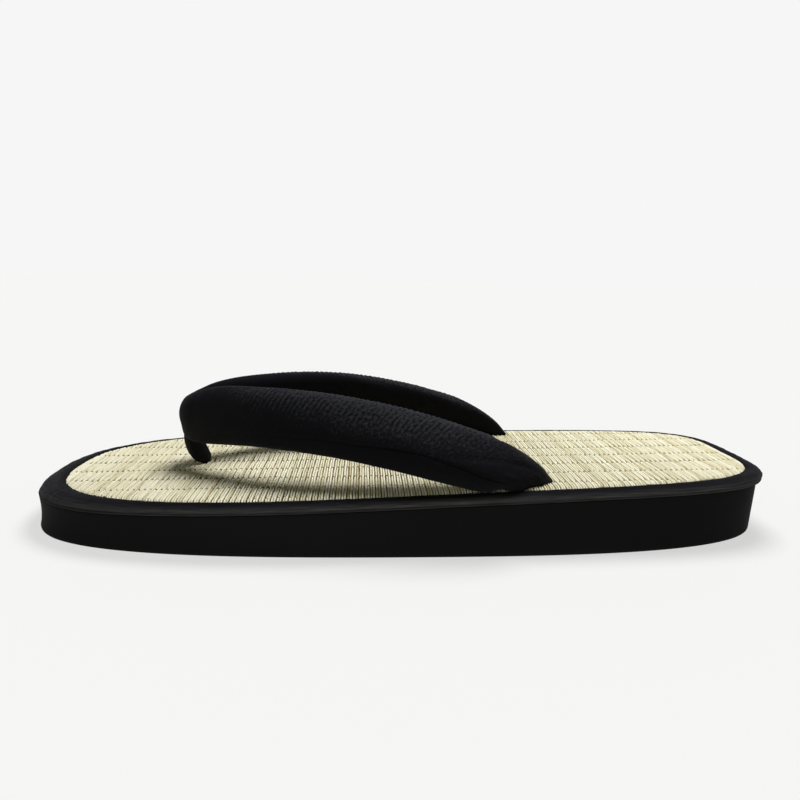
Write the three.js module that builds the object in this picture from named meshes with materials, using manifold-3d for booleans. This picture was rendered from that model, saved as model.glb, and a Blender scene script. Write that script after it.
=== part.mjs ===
import * as THREE from "three";
import { mergeVertices } from "three/addons/utils/BufferGeometryUtils.js";
import Module from "manifold-3d";

// Rush-mat thong sandal, in mm: X runs to the toe, Y to the wearer's left, Z up from the floor.

const fitGap = 0.3; // left between neighbouring pieces
const outlineStations = 112; // points round the sole, the mat and the binding
const midLengthX = -0.9; // the mat's mid-length, from the middle of the whole sandal

// The wedge: height of the mat's top at mid-length, and how much it drops for each mm to the toe.
const matTopHeight = 20.3;
const wedgeSlope = 4 / 127;
const matThickness = 3.7;

// Outlines seen from above: a rounded oblong whose half-width changes along the length.
const matOutline = {
  forward: 0,
  halfLength: 127.7,
  halfWidth: 42.35,
  widerToToe: 7.74,
  widerToEnds: 2.83,
  toePower: 2.58,
  heelPower: 4.35,
};
const soleOutline = {
  forward: 0.6, // the heel end of the sole leans in more than its toe end
  halfLength: 132.8,
  halfWidth: 47.6,
  widerToToe: 1.5,
  widerToEnds: -4.6,
  toePower: 3.8,
  heelPower: 3.7,
};

// The sole's side from the floor up: how far each ring lies inside the outline, and its height.
const soleEdge = [
  { inset: 1.2, height: 0 },
  { inset: 0.45, height: 0.3 },
  { inset: 0.12, height: 0.8 },
  { inset: 0, height: 1.6 },
];
const soleTopDepth = matThickness + fitGap; // below the mat's top
const soleTopRadius = 0.5;

// How far the sole's top edge and the binding reach outwards of the mat's outline, and how far the binding
// covers it inwards: along the sides, and at the two ends, to which they change from endStart onwards.
const soleTopOut = { side: 3.4, toe: 7.8, heel: 4.1 };
const bindingOut = { side: 3.8, toe: 6.6, heel: 6.0 };
const bindingIn = { side: 0, toe: 2.1, heel: 0.6 };
const endStart = 0.5; // share of the half-length

// Section of the binding: share of its width, and height from the mat's top.
const bindingSection = [
  { reach: 0.0, rise: -1.2 },
  { reach: 0.0, rise: -0.72 },
  { reach: 0.08, rise: -0.55 },
  { reach: 0.2, rise: -0.28 },
  { reach: 0.36, rise: -0.18 },
  { reach: 0.54, rise: -0.34 },
  { reach: 0.72, rise: -0.72 },
  { reach: 0.88, rise: -1.35 },
  { reach: 1.0, rise: -2.1 },
  { reach: 0.985, rise: -2.6 },
  { reach: 0.89, rise: -2.95 },
  { reach: 0.93, rise: -3.15 },
  { reach: 0.955, rise: -3.4 },
  { reach: 0.91, rise: -3.7 },
  { reach: 0.52, rise: -3.7 },
  { reach: 0.52, rise: -1.2 },
];

// The mat's edge is stepped down so that the binding lies on it.
const rebateDepth = 1.5;
const rebateReach = 0.42;

// The strap's left half from the nose to the slit in the mat: its top and low edges, and how far it is
// padded outwards and inwards of the line between them. X is from the mat's mid-length.
const strapRows = [
  { topX: 80.9, topY: 0, topZ: 44.8, lowX: 81.4, lowY: 0, lowZ: 26.9, outer: 6.0, inner: 2.6 },
  { topX: 79.3, topY: 2.6, topZ: 45.8, lowX: 79.9, lowY: 3.6, lowZ: 27.0, outer: 5.9, inner: 2.9 },
  { topX: 75.0, topY: 4.8, topZ: 47.7, lowX: 75.8, lowY: 8.2, lowZ: 27.3, outer: 5.6, inner: 3.6 },
  { topX: 67.5, topY: 8.3, topZ: 49.3, lowX: 69.0, lowY: 13.8, lowZ: 28.5, outer: 5.5, inner: 4.6 },
  { topX: 54.0, topY: 14.9, topZ: 50.2, lowX: 56.0, lowY: 23.0, lowZ: 30.4, outer: 5.6, inner: 5.4 },
  { topX: 38.0, topY: 20.3, topZ: 50.2, lowX: 41.3, lowY: 30.5, lowZ: 31.0, outer: 5.6, inner: 5.6 },
  { topX: 22.0, topY: 23.7, topZ: 48.9, lowX: 27.0, lowY: 35.5, lowZ: 30.5, outer: 5.6, inner: 5.6 },
  { topX: 6.0, topY: 26.0, topZ: 46.2, lowX: 13.0, lowY: 39.4, lowZ: 28.9, outer: 5.6, inner: 5.6 },
  { topX: -10.0, topY: 28.1, topZ: 42.2, lowX: -0.7, lowY: 43.0, lowZ: 26.9, outer: 5.6, inner: 5.6 },
  { topX: -26.0, topY: 29.8, topZ: 36.8, lowX: -14.2, lowY: 44.7, lowZ: 24.2, outer: 5.5, inner: 5.5 },
  { topX: -38.0, topY: 31.0, topZ: 30.7, lowX: -23.5, lowY: 44.6, lowZ: 22.2, outer: 5.0, inner: 5.0 },
  { topX: -46.2, topY: 31.9, topZ: 24.6, lowX: -29.5, lowY: 41.4, lowZ: 22.0, outer: 3.9, inner: 4.0 },
  { topX: -49.6, topY: 32.0, topZ: 20.5, lowX: -32.0, lowY: 37.8, lowZ: 19.6, outer: 2.6, inner: 2.6 },
  { topX: -50.2, topY: 32.0, topZ: 13.0, lowX: -33.0, lowY: 37.4, lowZ: 12.0, outer: 2.5, inner: 2.5 },
];
const rightForward = 2; // how much nearer to the toe the right branch meets the mat
const rightRows = 4; // rows at its end that are moved whole, and the rows over which this fades
const rightFade = 5;
const strapStepsPerRow = 3;
const strapSectionPoints = 18;
const strapPower = 2.25; // roundness of the padded section, 2 is an ellipse

// The toe post's middle line on the sandal's centre plane, and its half sizes.
const postRows = [
  { x: 82.6, z: 29.4, half: 3.3, halfAcross: 3.6 },
  { x: 82.2, z: 26.6, half: 3.5, halfAcross: 3.8 },
  { x: 81.3, z: 23.8, half: 3.6, halfAcross: 3.9 },
  { x: 79.8, z: 21.2, half: 3.5, halfAcross: 3.8 },
  { x: 78.4, z: 19.2, half: 3.0, halfAcross: 3.4 },
  { x: 77.2, z: 17.2, half: 2.1, halfAcross: 2.6 },
  { x: 75.6, z: 14.2, half: 1.9, halfAcross: 2.4 },
];
const postStepsPerRow = 2;
const postSectionPoints = 16;
const postPower = 2;

const blockSize = 400; // larger than the sandal, for the block that trims the strap's ends

const finishes = {
  foam: { color: 0x15151a, roughness: 0.6, metalness: 0 },
  rush: { color: 0xd9d2a4, roughness: 0.7, metalness: 0 },
  tape: { color: 0x1d1d21, roughness: 0.85, metalness: 0 },
  cloth: { color: 0x18181b, roughness: 0.95, metalness: 0 },
};

const wasm = await Module();
wasm.setup();

function matTopAt(x) {
  return matTopHeight - wedgeSlope * (x - midLengthX);
}

// Points of an outline, anticlockwise from the toe's end, the same directions for every outline.
function outlinePoints(shape) {
  const points = [];
  for (let i = 0; i < outlineStations; i++) {
    const angle = (2 * Math.PI * i) / outlineStations;
    const c = Math.cos(angle);
    const s = Math.sin(angle);
    const power = c >= 0 ? shape.toePower : shape.heelPower;
    const scale = (Math.abs(c) ** power + Math.abs(s) ** power) ** (-1 / power);
    const along = c * scale;
    const width = shape.halfWidth + shape.widerToToe * along + shape.widerToEnds * along * along;
    const x = midLengthX + shape.forward + shape.halfLength * along;
    points.push(new THREE.Vector2(x, width * s * scale));
  }
  return points;
}

// The outline moved outwards at each point by its own distance.
function movedOut(points, distances) {
  const count = points.length;
  return points.map((point, i) => {
    const before = points[(i + count - 1) % count];
    const after = points[(i + 1) % count];
    const normal = new THREE.Vector2(after.y - before.y, before.x - after.x).normalize();
    return point.clone().addScaledVector(normal, distances[i]);
  });
}

function evenDistances(distance) {
  return new Array(outlineStations).fill(distance);
}

function onFloorPlane(points, height) {
  return points.map((p) => new THREE.Vector3(p.x, p.y, height));
}

function belowMatTop(points, rise) {
  return points.map((p) => new THREE.Vector3(p.x, p.y, matTopAt(p.x) + rise));
}

function signedVolume(points, faces) {
  let six = 0;
  const cross = new THREE.Vector3();
  for (const [a, b, c] of faces) {
    six += points[a].dot(cross.crossVectors(points[b], points[c]));
  }
  return six / 6;
}

// A closed surface through rings of points: the ends are capped, or the last ring joins the first.
function skinOf(rings, joined) {
  const size = rings[0].length;
  const points = rings.flat();
  const faces = [];
  const spans = joined ? rings.length : rings.length - 1;
  for (let i = 0; i < spans; i++) {
    const low = i * size;
    const high = ((i + 1) % rings.length) * size;
    for (let j = 0; j < size; j++) {
      const k = (j + 1) % size;
      faces.push([low + j, low + k, high + k]);
      faces.push([low + j, high + k, high + j]);
    }
  }
  if (!joined) {
    const last = (rings.length - 1) * size;
    const ends = [rings[0], rings[rings.length - 1]];
    const [start, finish] = ends.map((ring) => {
      const middle = new THREE.Vector3();
      ring.forEach((p) => middle.addScaledVector(p, 1 / size));
      return points.push(middle) - 1;
    });
    for (let j = 0; j < size; j++) {
      const k = (j + 1) % size;
      faces.push([start, k, j]);
      faces.push([finish, last + j, last + k]);
    }
  }
  if (signedVolume(points, faces) < 0) {
    faces.forEach((face) => face.reverse());
  }
  const geometry = new THREE.BufferGeometry();
  geometry.setAttribute("position", new THREE.Float32BufferAttribute(points.flatMap((p) => p.toArray()), 3));
  geometry.setIndex(faces.flat());
  return geometry;
}

function solidOf(geometry) {
  const bare = geometry.clone();
  bare.deleteAttribute("normal");
  bare.deleteAttribute("uv");
  const merged = mergeVertices(bare);
  const mesh = new wasm.Mesh({
    numProp: 3,
    vertProperties: merged.attributes.position.array,
    triVerts: new Uint32Array(merged.index.array),
  });
  return new wasm.Manifold(mesh);
}

function geometryOf(solid) {
  const mesh = solid.getMesh();
  const geometry = new THREE.BufferGeometry();
  geometry.setAttribute("position", new THREE.BufferAttribute(mesh.vertProperties, 3));
  geometry.setIndex(new THREE.BufferAttribute(mesh.triVerts, 1));
  geometry.computeVertexNormals();
  return geometry;
}

// A rounded section: across and deep are its two directions, with their half sizes.
function sectionRing(centre, across, halfAcross, deep, halfOut, halfIn, power, count) {
  const ring = [];
  for (let i = 0; i < count; i++) {
    const angle = (2 * Math.PI * i) / count;
    const c = Math.cos(angle);
    const s = Math.sin(angle);
    const scale = (Math.abs(c) ** power + Math.abs(s) ** power) ** (-1 / power);
    const depth = s >= 0 ? halfOut : halfIn;
    const point = centre.clone().addScaledVector(across, halfAcross * c * scale);
    ring.push(point.addScaledVector(deep, depth * s * scale));
  }
  return ring;
}

function smoothValue(values, place) {
  const index = Math.min(Math.floor(place), values.length - 2);
  return THREE.MathUtils.lerp(values[index], values[index + 1], place - index);
}

// The strap from one slit, round the nose, to the other slit, made larger all round by grow.
function strapGeometry(grow) {
  const mirrored = strapRows.slice(1).reverse();
  const right = mirrored.map((row, i) => {
    const forward = rightForward * THREE.MathUtils.clamp(1 - (i + 1 - rightRows) / rightFade, 0, 1);
    const { topX, lowX } = row;
    return { ...row, topX: topX + forward, topY: -row.topY, lowX: lowX + forward, lowY: -row.lowY };
  });
  const rows = [...right, ...strapRows];
  const top = new THREE.CatmullRomCurve3(
    rows.map((r) => new THREE.Vector3(midLengthX + r.topX, r.topY, r.topZ)),
  );
  const low = new THREE.CatmullRomCurve3(
    rows.map((r) => new THREE.Vector3(midLengthX + r.lowX, r.lowY, r.lowZ)),
  );
  const outers = rows.map((r) => r.outer);
  const inners = rows.map((r) => r.inner);
  const spans = rows.length - 1;
  const steps = spans * strapStepsPerRow;
  const rings = [];
  for (let i = 0; i <= steps; i++) {
    const share = i / steps;
    const edge = top.getPoint(share);
    const other = low.getPoint(share);
    const centre = edge.clone().add(other).multiplyScalar(0.5);
    const across = edge.clone().sub(other);
    const half = across.length() / 2;
    across.normalize();
    const along = top.getTangent(share).add(low.getTangent(share)).normalize();
    const outwards = new THREE.Vector3().crossVectors(along, across).normalize();
    const place = share * spans;
    const out = smoothValue(outers, place) + grow;
    const inside = smoothValue(inners, place) + grow;
    rings.push(
      sectionRing(centre, across, half + grow, outwards, out, inside, strapPower, strapSectionPoints),
    );
  }
  return skinOf(rings, false);
}

function postGeometry(grow) {
  const line = new THREE.CatmullRomCurve3(
    postRows.map((r) => new THREE.Vector3(midLengthX + r.x, 0, r.z)),
  );
  const halves = postRows.map((r) => r.half);
  const halvesAcross = postRows.map((r) => r.halfAcross);
  const across = new THREE.Vector3(0, 1, 0);
  const spans = postRows.length - 1;
  const steps = spans * postStepsPerRow;
  const rings = [];
  for (let i = 0; i <= steps; i++) {
    const share = i / steps;
    const place = share * spans;
    const front = new THREE.Vector3().crossVectors(line.getTangent(share), across).normalize();
    const half = smoothValue(halves, place) + grow;
    const wide = smoothValue(halvesAcross, place) + grow;
    const centre = line.getPoint(share);
    rings.push(sectionRing(centre, across, wide, front, half, half, postPower, postSectionPoints));
  }
  return skinOf(rings, false);
}

// A block whose upper face lies along the underside of the mat.
function blockUnderMat() {
  const block = new THREE.BoxGeometry(blockSize, blockSize, blockSize);
  block.translate(0, 0, -blockSize / 2);
  block.rotateY(Math.atan(wedgeSlope));
  block.translate(midLengthX, 0, matTopHeight - matThickness);
  return block;
}

const matEdge = outlinePoints(matOutline);

// A size at each point of the mat's outline, from its values along the sides and at the two ends.
function roundTheEdge(sizes) {
  return matEdge.map((p) => {
    const along = (p.x - midLengthX) / matOutline.halfLength;
    const spread = Math.max(0, (Math.abs(along) - endStart) / (1 - endStart));
    const end = along > 0 ? sizes.toe : sizes.heel;
    return sizes.side + (end - sizes.side) * spread * spread;
  });
}

const bindingWidth = roundTheEdge(bindingOut);
const bindingCover = roundTheEdge(bindingIn);

// The outline at a share of the binding's width, from its inner edge.
function shareOut(share) {
  const places = bindingWidth.map((width, i) => (width + bindingCover[i]) * share - bindingCover[i]);
  return movedOut(matEdge, places);
}

// The foam sole: a flat underside with a rounded edge, and a side that runs up to below the binding.
const floorEdge = outlinePoints(soleOutline);
const soleTop = movedOut(matEdge, roundTheEdge(soleTopOut));
const soleRings = soleEdge.map((ring) => {
  return onFloorPlane(movedOut(floorEdge, evenDistances(-ring.inset)), ring.height);
});
soleRings.push(belowMatTop(soleTop, -soleTopDepth - soleTopRadius));
soleRings.push(belowMatTop(movedOut(soleTop, evenDistances(-soleTopRadius)), -soleTopDepth));
const soleSolid = solidOf(skinOf(soleRings, false));

// The mat: its visible top, and the stepped edge under the binding.
const matTop = movedOut(matEdge, bindingCover.map((cover) => -cover - fitGap));
const matStep = shareOut(rebateReach);
const matSolid = solidOf(
  skinOf(
    [
      belowMatTop(matStep, -matThickness),
      belowMatTop(matStep, -rebateDepth),
      belowMatTop(matTop, -rebateDepth),
      belowMatTop(matTop, 0),
    ],
    false,
  ),
);

const bindingSolid = solidOf(
  skinOf(
    bindingSection.map((corner) => belowMatTop(shareOut(corner.reach), corner.rise)),
    true,
  ),
);

// The strap and the post pass through the mat and end on the sole's top.
const underMat = solidOf(blockUnderMat());
const strapSolid = solidOf(strapGeometry(0)).subtract(underMat);
const strapRoom = solidOf(strapGeometry(fitGap));
const postSolid = solidOf(postGeometry(0)).subtract(underMat).subtract(strapRoom);
const postRoom = solidOf(postGeometry(fitGap));

const sandal = new THREE.Group();

function addPiece(name, solid, finish) {
  const mesh = new THREE.Mesh(geometryOf(solid), new THREE.MeshStandardMaterial(finish));
  mesh.name = name;
  sandal.add(mesh);
}

addPiece("sole", soleSolid, finishes.foam);
addPiece("rush_mat", matSolid.subtract(strapRoom).subtract(postRoom), finishes.rush);
addPiece("edge_binding", bindingSolid.subtract(strapRoom), finishes.tape);
addPiece("strap", strapSolid, finishes.cloth);
addPiece("toe_post", postSolid, finishes.cloth);

export default sandal;
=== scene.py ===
import math

import bpy
import numpy as np
from mathutils import Matrix, Vector


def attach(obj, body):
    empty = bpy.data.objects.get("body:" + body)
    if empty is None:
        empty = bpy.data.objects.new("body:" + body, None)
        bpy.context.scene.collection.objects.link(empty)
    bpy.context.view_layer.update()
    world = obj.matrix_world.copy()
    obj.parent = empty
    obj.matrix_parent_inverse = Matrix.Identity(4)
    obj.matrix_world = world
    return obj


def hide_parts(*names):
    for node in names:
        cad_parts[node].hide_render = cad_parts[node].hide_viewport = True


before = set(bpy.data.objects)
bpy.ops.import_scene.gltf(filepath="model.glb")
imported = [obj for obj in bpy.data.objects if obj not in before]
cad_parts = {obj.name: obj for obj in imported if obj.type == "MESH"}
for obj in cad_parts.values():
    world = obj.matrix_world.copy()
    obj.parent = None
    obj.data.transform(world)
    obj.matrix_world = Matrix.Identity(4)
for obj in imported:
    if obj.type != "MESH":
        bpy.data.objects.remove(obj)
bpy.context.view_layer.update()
scene = bpy.context.scene
mm = 0.001
fullTurn = 2.0 * math.pi
print("frame loaded")


# the output of a node: sums of such values make the nodes that work them out
class Value:
    def __init__(self, socket):
        self.socket = socket

    def __add__(self, other):
        return calc("ADD", self, other)

    def __radd__(self, other):
        return calc("ADD", other, self)

    def __sub__(self, other):
        return calc("SUBTRACT", self, other)

    def __rsub__(self, other):
        return calc("SUBTRACT", other, self)

    def __mul__(self, other):
        return calc("MULTIPLY", self, other)

    def __rmul__(self, other):
        return calc("MULTIPLY", other, self)

    def __truediv__(self, other):
        return calc("DIVIDE", self, other)

    def __rtruediv__(self, other):
        return calc("DIVIDE", other, self)

    def __pow__(self, other):
        return calc("POWER", self, other)


# node helpers, for materials and geometry trees alike
def setInputs(node, values):
    for name, value in values.items():
        if isinstance(value, Value):
            node.id_data.links.new(value.socket, node.inputs[name])
        else:
            node.inputs[name].default_value = value


def addNode(tree, kind, values=None, output=0, **settings):
    node = tree.nodes.new(kind)
    for name, value in settings.items():
        setattr(node, name, value)
    setInputs(node, values or {})
    return Value(node.outputs[output])


# a node in the tree that its values come from
def nodeFrom(kind, values, output=0, **settings):
    tree = next(value.socket.id_data for value in values.values() if isinstance(value, Value))
    return addNode(tree, kind, values, output, **settings)


def calc(operation, *parts):
    return nodeFrom("ShaderNodeMath", dict(enumerate(parts)), operation=operation)


def clamped(value, low=0.0, high=1.0):
    return calc("MINIMUM", calc("MAXIMUM", value, low), high)


def vector(x=0.0, y=0.0, z=0.0):
    return nodeFrom("ShaderNodeCombineXYZ", {"X": x, "Y": y, "Z": z})


def split(coords):
    parts = nodeFrom("ShaderNodeSeparateXYZ", {"Vector": coords})
    return [Value(socket) for socket in parts.socket.node.outputs]


def timesVector(first, second):
    return nodeFrom("ShaderNodeVectorMath", {0: first, 1: second}, operation="MULTIPLY")


def scaled(first, factor):
    return nodeFrom("ShaderNodeVectorMath", {0: first, "Scale": factor}, operation="SCALE")


def noise(coords, scale=1.0, detail=2.0, rough=0.55):
    values = {"Vector": coords, "Scale": scale, "Detail": detail, "Roughness": rough}
    return nodeFrom("ShaderNodeTexNoise", values, "Fac")


def stretched(coords, scale):
    return nodeFrom("ShaderNodeMapping", {"Vector": coords, "Scale": scale})


def ramp(factor, stops):
    colour = nodeFrom("ShaderNodeValToRGB", {"Fac": factor}, "Color")
    marks = colour.socket.node.color_ramp.elements
    while len(marks) < len(stops):
        marks.new(0.5)
    for mark, (place, tint) in zip(marks, stops):
        mark.position = place
        mark.color = (*tint, 1.0)
    return colour


def bump(height, strength, depth, below=None):
    values = {"Height": height, "Strength": strength, "Distance": depth}
    if below is not None:
        values["Normal"] = below
    return nodeFrom("ShaderNodeBump", values)


def painted(tree, name):
    return addNode(tree, "ShaderNodeAttribute", None, "Fac", attribute_name=name)


# a material with its constant sockets set, its shader, and the piece's own coordinates
def newMaterial(name, constants):
    material = bpy.data.materials.new(name)
    material.use_nodes = True
    shader = material.node_tree.nodes["Principled BSDF"]
    setInputs(shader, constants)
    return material, shader, addNode(material.node_tree, "ShaderNodeTexCoord", None, "Object")


# black foam skin of the sole: fine pebbles, long scuffs and dull patches, and ends painted darker as shade
foamLook = {
    "specular": 0.03,
    "refraction": 1.45,
    "patchScale": 38.0,  # scales of the patterns are for each metre
    "pebbleScale": 2400.0,
    "scuffScale": (60.0, 60.0, 1500.0),
    "patchShare": 0.35,
    "endScale": 7.6,  # about 1 over the half-length
    "endShadeShare": 0.65,  # how much darker the ends are painted, as shade
    "tones": [(0.2, (0.0046, 0.0044, 0.0045)), (0.8, (0.0082, 0.0079, 0.0080))],
    "roughness": 0.5,
    "roughPatches": 0.22,
    "roughPebbles": 0.12,
    "pebbleBump": (0.3, 0.1 * mm),  # strength and height of each relief
    "scuffBump": (0.12, 0.08 * mm),
}


def makeFoam(look):
    constants = {"Specular IOR Level": look["specular"], "IOR": look["refraction"]}
    material, shader, coords = newMaterial("blackFoam", constants)
    patches = noise(coords, look["patchScale"], 4.0)
    pebbles = noise(coords, look["pebbleScale"])
    scuffs = noise(stretched(coords, look["scuffScale"]))
    # painted shade: the foam is darker towards the toe and the heel
    toEnds = calc("ABSOLUTE", split(coords)[0] * look["endScale"]) ** 2.0
    patchedAndEndShaded = patches * look["patchShare"] + (1.0 - look["patchShare"]) - toEnds * look["endShadeShare"]
    rough = pebbles * look["roughPebbles"] + (patches * look["roughPatches"] + look["roughness"])
    relief = bump(scuffs, *look["scuffBump"], bump(pebbles, *look["pebbleBump"]))
    setInputs(shader, {"Base Color": ramp(patchedAndEndShaded, look["tones"]), "Roughness": rough, "Normal": relief})
    return material


# black cloths, with a plain weave that follows the piece's own UV map in metres
clothLook = {  # what the three cloths share
    "specular": 0.08,
    "sheenRoughness": 0.4,
    "sheenTint": (0.32, 0.33, 0.37, 1.0),
    "fuzzScale": 3200.0,
    "fuzzHeight": 0.9,  # against the weave's
    "patchScale": 90.0,
    "weaveBump": 0.6,
    "toneFrom": 0.25,
    "toneTo": 0.75,
    "roughness": 0.72,
    "roughFuzz": 0.2,
}
tapeLook = {
    "thread": 0.55 * mm,
    "light": 0.0520,
    "dark": 0.0240,
    "tint": (1.02, 1.0, 0.95),
    "depth": 0.05 * mm,
    "sheen": 0.03,
    "deepestPaintedShade": 0.06,  # how dark the cloth is in the deepest painted shade
    "streakScale": 1500.0,
    "streakLong": 0.06,
    "streakShare": 1.5,
    "plainShare": 0.5,
    "darker": 0.5,
}
postLook = {
    "thread": 0.38 * mm,
    "light": 0.0070,
    "dark": 0.0030,
    "tint": (1.0, 1.0, 1.06),
    "depth": 0.04 * mm,
    "sheen": 0.01,
}
crepeLook = {
    "thread": 0.42 * mm,
    "light": 0.0230,
    "dark": 0.0026,
    "tint": (1.0, 1.03, 0.95),
    "inner": (1.0, 1.03, 1.15),
    "innerBlue": 2.2,
    "depth": 0.05 * mm,
    "sheen": 0.05,
    "nub": 0.8 * mm,  # the size of the small knots in the crepe
    "nubDepth": 0.34 * mm,
    "nubSlant": 0.28,
    "nubLong": 0.66,
    "nubShare": 1.9,
    "crepeHighlightShare": 0.44,
    "ribHighlightShare": 0.3,
    "plainShare": 0.9,
    "darker": 0.37,
}


def makeCloth(name, look):
    constants = {
        "Specular IOR Level": clothLook["specular"],
        "Sheen Weight": look["sheen"],
        "Sheen Roughness": clothLook["sheenRoughness"],
        "Sheen Tint": clothLook["sheenTint"],
    }
    material, shader, coords = newMaterial(name, constants)
    tree = material.node_tree
    along, around, _ = split(addNode(tree, "ShaderNodeTexCoord", None, "UV"))
    turns = fullTurn / look["thread"]
    weave = calc("SINE", along * turns) * calc("SINE", around * turns)
    fuzz = noise(coords, clothLook["fuzzScale"])
    tone = fuzz * 0.5 + noise(coords, clothLook["patchScale"], 3.0) * 0.5
    relief = bump(fuzz * clothLook["fuzzHeight"] + weave, clothLook["weaveBump"], look["depth"])
    if "nub" in look:
        drawn = vector(around * look["nubSlant"] + along, around * look["nubLong"])
        knots = noise(drawn, 1.0 / look["nub"], 1.0)
        crepe = painted(tree, "crepe")
        relief = bump(knots * crepe, 1.0, look["nubDepth"], relief)
        tone = (knots - 0.5) * crepe * look["nubShare"] + (tone * look["plainShare"] - look["darker"])
        # crepe and rib crests lighten the cloth: partly the crepe's own tone, partly a painted highlight
        # on the top and ridge
        tone = painted(tree, "ribs") * look["ribHighlightShare"] + (crepe * look["crepeHighlightShare"] + tone)
    if "deepestPaintedShade" in look:
        # streaks along the tape: painted shade of small wrinkles
        streaks = noise(vector(along * look["streakLong"], around), look["streakScale"])
        tone = streaks * look["streakShare"] + (tone * look["plainShare"] - look["darker"])
    pale = [look["light"] * tint for tint in look["tint"]]
    deep = [look["dark"] * tint for tint in look.get("inner", look["tint"])]
    colour = ramp(tone, [(clothLook["toneFrom"], deep), (clothLook["toneTo"], pale)])
    if "nub" in look:
        colour = timesVector(colour, vector(1.0, 1.0, painted(tree, "inside") * look["innerBlue"] + 1.0))
    # the tape's colour is scaled by its painted highlight and shade
    if "deepestPaintedShade" in look:
        colour = scaled(colour, painted(tree, "paintedHighlightAndShade") * (1.0 - look["deepestPaintedShade"]) + look["deepestPaintedShade"])
    rough = fuzz * clothLook["roughFuzz"] + clothLook["roughness"]
    setInputs(shader, {"Base Color": colour, "Roughness": rough, "Normal": relief})
    return material


# dry rush: each strand has its own tone, paler or browner along its length, a few tan or green
rushLook = {
    "specular": 0.2,
    "alongScale": (900.0, 190.0, 300.0),
    "fibreScale": (9000.0, 260.0, 9000.0),
    "alongShare": 0.58,
    "strandShare": 0.54,
    "tones": [
        (0.16, (0.47, 0.42, 0.20)),
        (0.34, (0.755, 0.705, 0.405)),
        (0.60, (0.875, 0.835, 0.53)),
        (0.90, (0.93, 0.905, 0.635)),
    ],
    "tints": [
        (0.0, (0.99, 0.95, 0.89)),
        (0.04, (0.99, 0.96, 0.91)),
        (0.07, (1.0, 1.0, 1.0)),
        (0.93, (1.0, 1.0, 1.0)),
        (0.97, (0.97, 0.99, 0.93)),
    ],
    "roughness": 0.5,
    "roughFibre": 0.25,
    "fibreBump": (0.3, 0.05 * mm),
}


def makeRush(look):
    material, shader, coords = newMaterial("rushStraw", {"Specular IOR Level": look["specular"]})
    own = painted(material.node_tree, "strandTone")
    along = noise(stretched(coords, look["alongScale"]), 1.0, 3.0)
    fibre = noise(stretched(coords, look["fibreScale"]))
    tone = along * look["alongShare"] + own * look["strandShare"]
    straw = timesVector(ramp(tone, look["tones"]), ramp(own, look["tints"]))
    rough = fibre * look["roughFibre"] + look["roughness"]
    setInputs(shader, {"Base Color": straw, "Roughness": rough, "Normal": bump(fibre, *look["fibreBump"])})
    return material


# the threads that hold the strands, their brown deepened as painted shade in the dips, and the matted rush
# below them
twistLook = {
    "specular": 0.1,
    "scale": (1800.0, 5000.0, 5000.0),
    "roughness": 0.75,
    "roughTwist": 0.2,
    "bump": (0.5, 0.05 * mm),
}
threadAndDipShadeTones = [(0.3, (0.13, 0.095, 0.042)), (0.7, (0.30, 0.235, 0.115))]
boardTones = [(0.3, (0.28, 0.23, 0.12)), (0.7, (0.48, 0.42, 0.25))]


def makeTwist(name, look, tones):
    material, shader, coords = newMaterial(name, {"Specular IOR Level": look["specular"]})
    twist = noise(stretched(coords, look["scale"]))
    rough = twist * look["roughTwist"] + look["roughness"]
    relief = bump(twist, *look["bump"])
    setInputs(shader, {"Base Color": ramp(twist, tones), "Roughness": rough, "Normal": relief})
    return material


foam = makeFoam(foamLook)
tape = makeCloth("blackTape", tapeLook)
ribCloth = makeCloth("blackRibCloth", crepeLook)
postCloth = makeCloth("blackPostCloth", postLook)
rush = makeRush(rushLook)
warpThread = makeTwist("warpThread", twistLook, threadAndDipShadeTones)
rushBoard = makeTwist("mattedRush", twistLook, boardTones)
print("materials made")


# rings of points become one closed skin with a UV map in metres
def skinMesh(name, grid, material, joined=False):
    rings, size = grid.shape[:2]
    points = [tuple(p) for p in grid.reshape(-1, 3)]
    alongSteps = np.linalg.norm(np.roll(grid, -1, 0) - grid, axis=2).mean(axis=1)
    roundSteps = np.linalg.norm(np.roll(grid, -1, 1) - grid, axis=2).mean(axis=0)
    alongAt = np.concatenate([[0.0], np.cumsum(alongSteps)])
    roundAt = np.concatenate([[0.0], np.cumsum(roundSteps)])
    faces, corners = [], []
    for i in range(rings if joined else rings - 1):
        low, high = i * size, ((i + 1) % rings) * size
        for j in range(size):
            k = (j + 1) % size
            faces.append((low + j, low + k, high + k, high + j))
            corners += [(alongAt[i], roundAt[j]), (alongAt[i], roundAt[j + 1])]
            corners += [(alongAt[i + 1], roundAt[j + 1]), (alongAt[i + 1], roundAt[j])]
    if not joined:
        for ring, flip in ((0, True), (rings - 1, False)):
            middle = len(points)
            points.append(tuple(grid[ring].mean(axis=0)))
            for j in range(size):
                a, b = ring * size + j, ring * size + (j + 1) % size
                faces.append((middle, b, a) if flip else (middle, a, b))
                corners += [tuple(points[vertex][:2]) for vertex in faces[-1]]
    mesh = bpy.data.meshes.new(name)
    mesh.from_pydata(points, [], faces)
    layer = mesh.uv_layers.new(name="clothMap")
    layer.data.foreach_set("uv", np.array(corners, dtype=np.float32).ravel())
    mesh.materials.append(material)
    mesh.polygons.foreach_set("use_smooth", [True] * len(mesh.polygons))
    mesh.update()
    return facedOut(mesh)


def facedOut(mesh):
    total = 0.0
    points = [v.co for v in mesh.vertices]
    for face in mesh.polygons:
        ids = face.vertices
        for a in range(1, len(ids) - 1):
            total += points[ids[0]].dot(points[ids[a]].cross(points[ids[a + 1]]))
    if total < 0.0:
        mesh.flip_normals()
    return mesh


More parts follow.
